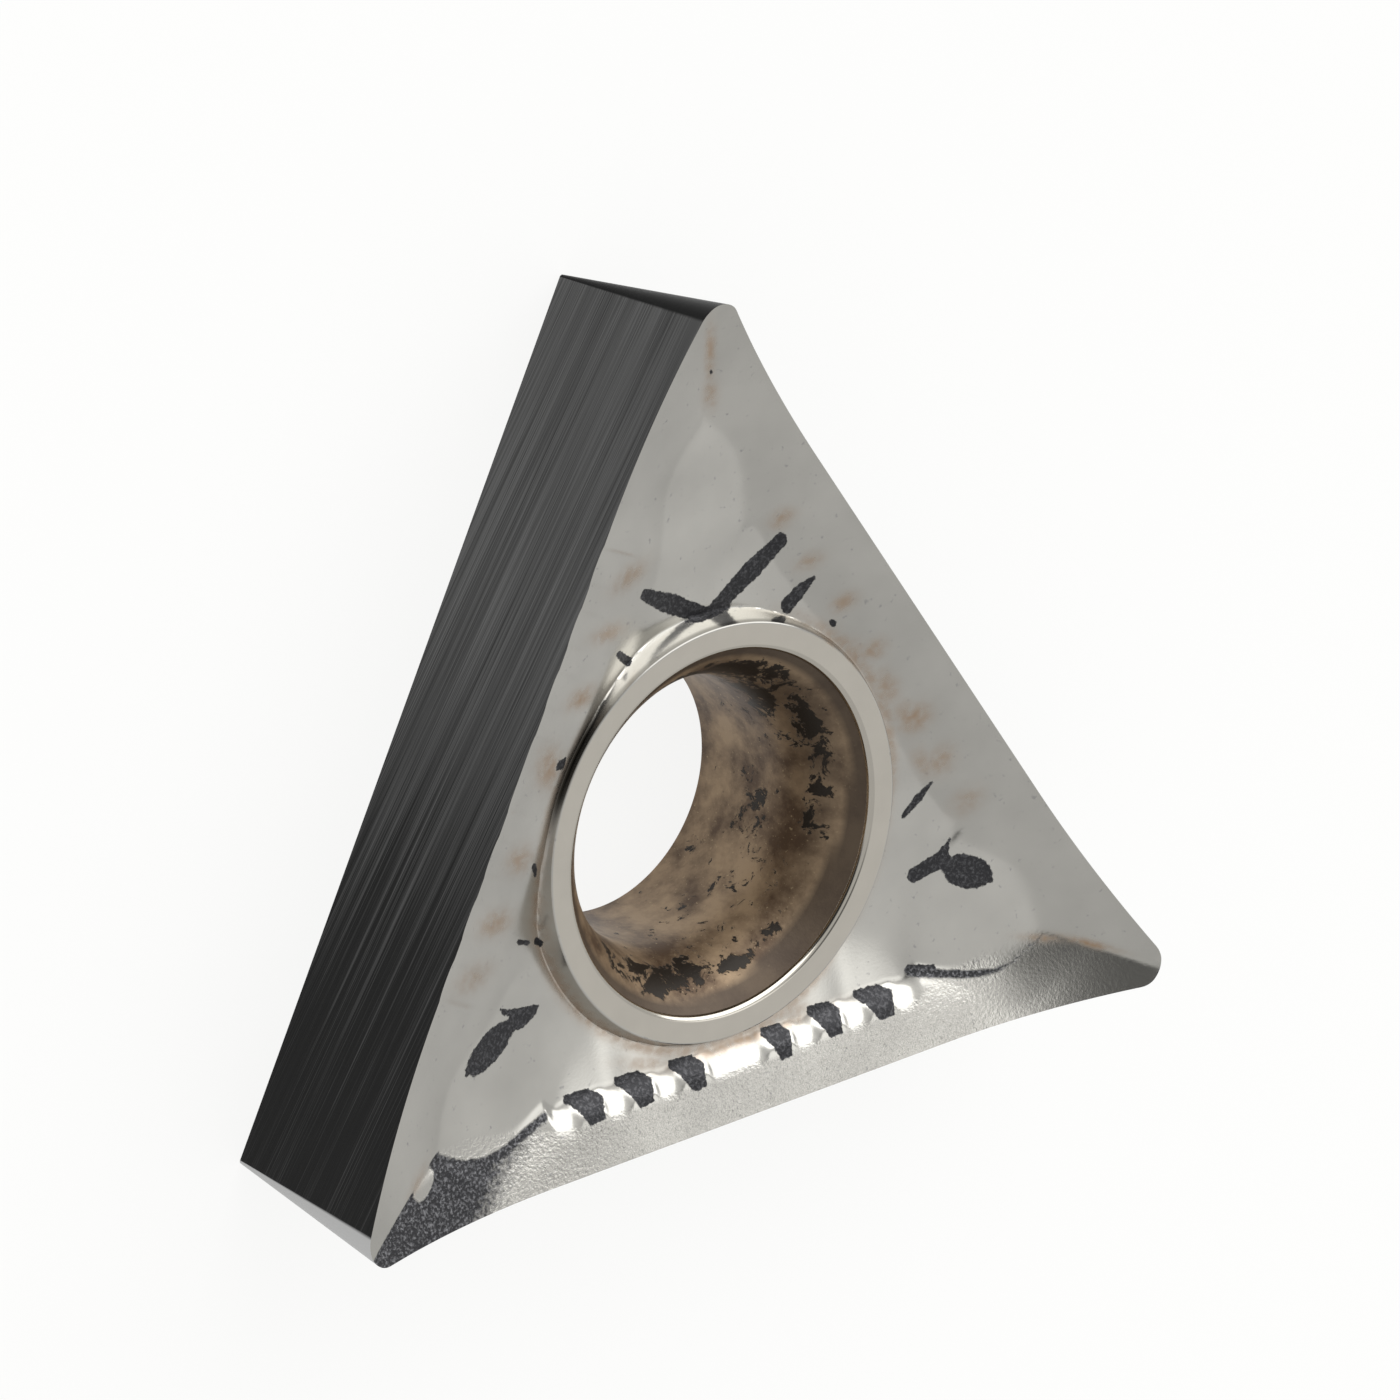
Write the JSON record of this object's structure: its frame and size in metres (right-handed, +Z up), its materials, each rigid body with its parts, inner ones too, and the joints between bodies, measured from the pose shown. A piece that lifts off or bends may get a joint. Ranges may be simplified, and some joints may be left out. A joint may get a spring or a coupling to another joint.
{
  "type": "carbide turning insert",
  "caption": "Triangular carbide turning insert with relief-ground flanks, a bright fluted chip breaker on its top face and a countersunk screw hole.",
  "frame": {"origin": "on the screw hole's axis, at the flat seat face the insert rests on", "axes": "+Z up along the screw hole through the chip-breaker face, +Y towards one nose, +X along the opposite cutting edge"},
  "size_m": [0.016, 0.0139, 0.004],
  "materials": {
    "carbide": "polished top face, fine-ground flanks"
  },
  "bodies": {
    "root": {"insert": "carbide"}
  },
  "joints": []
}
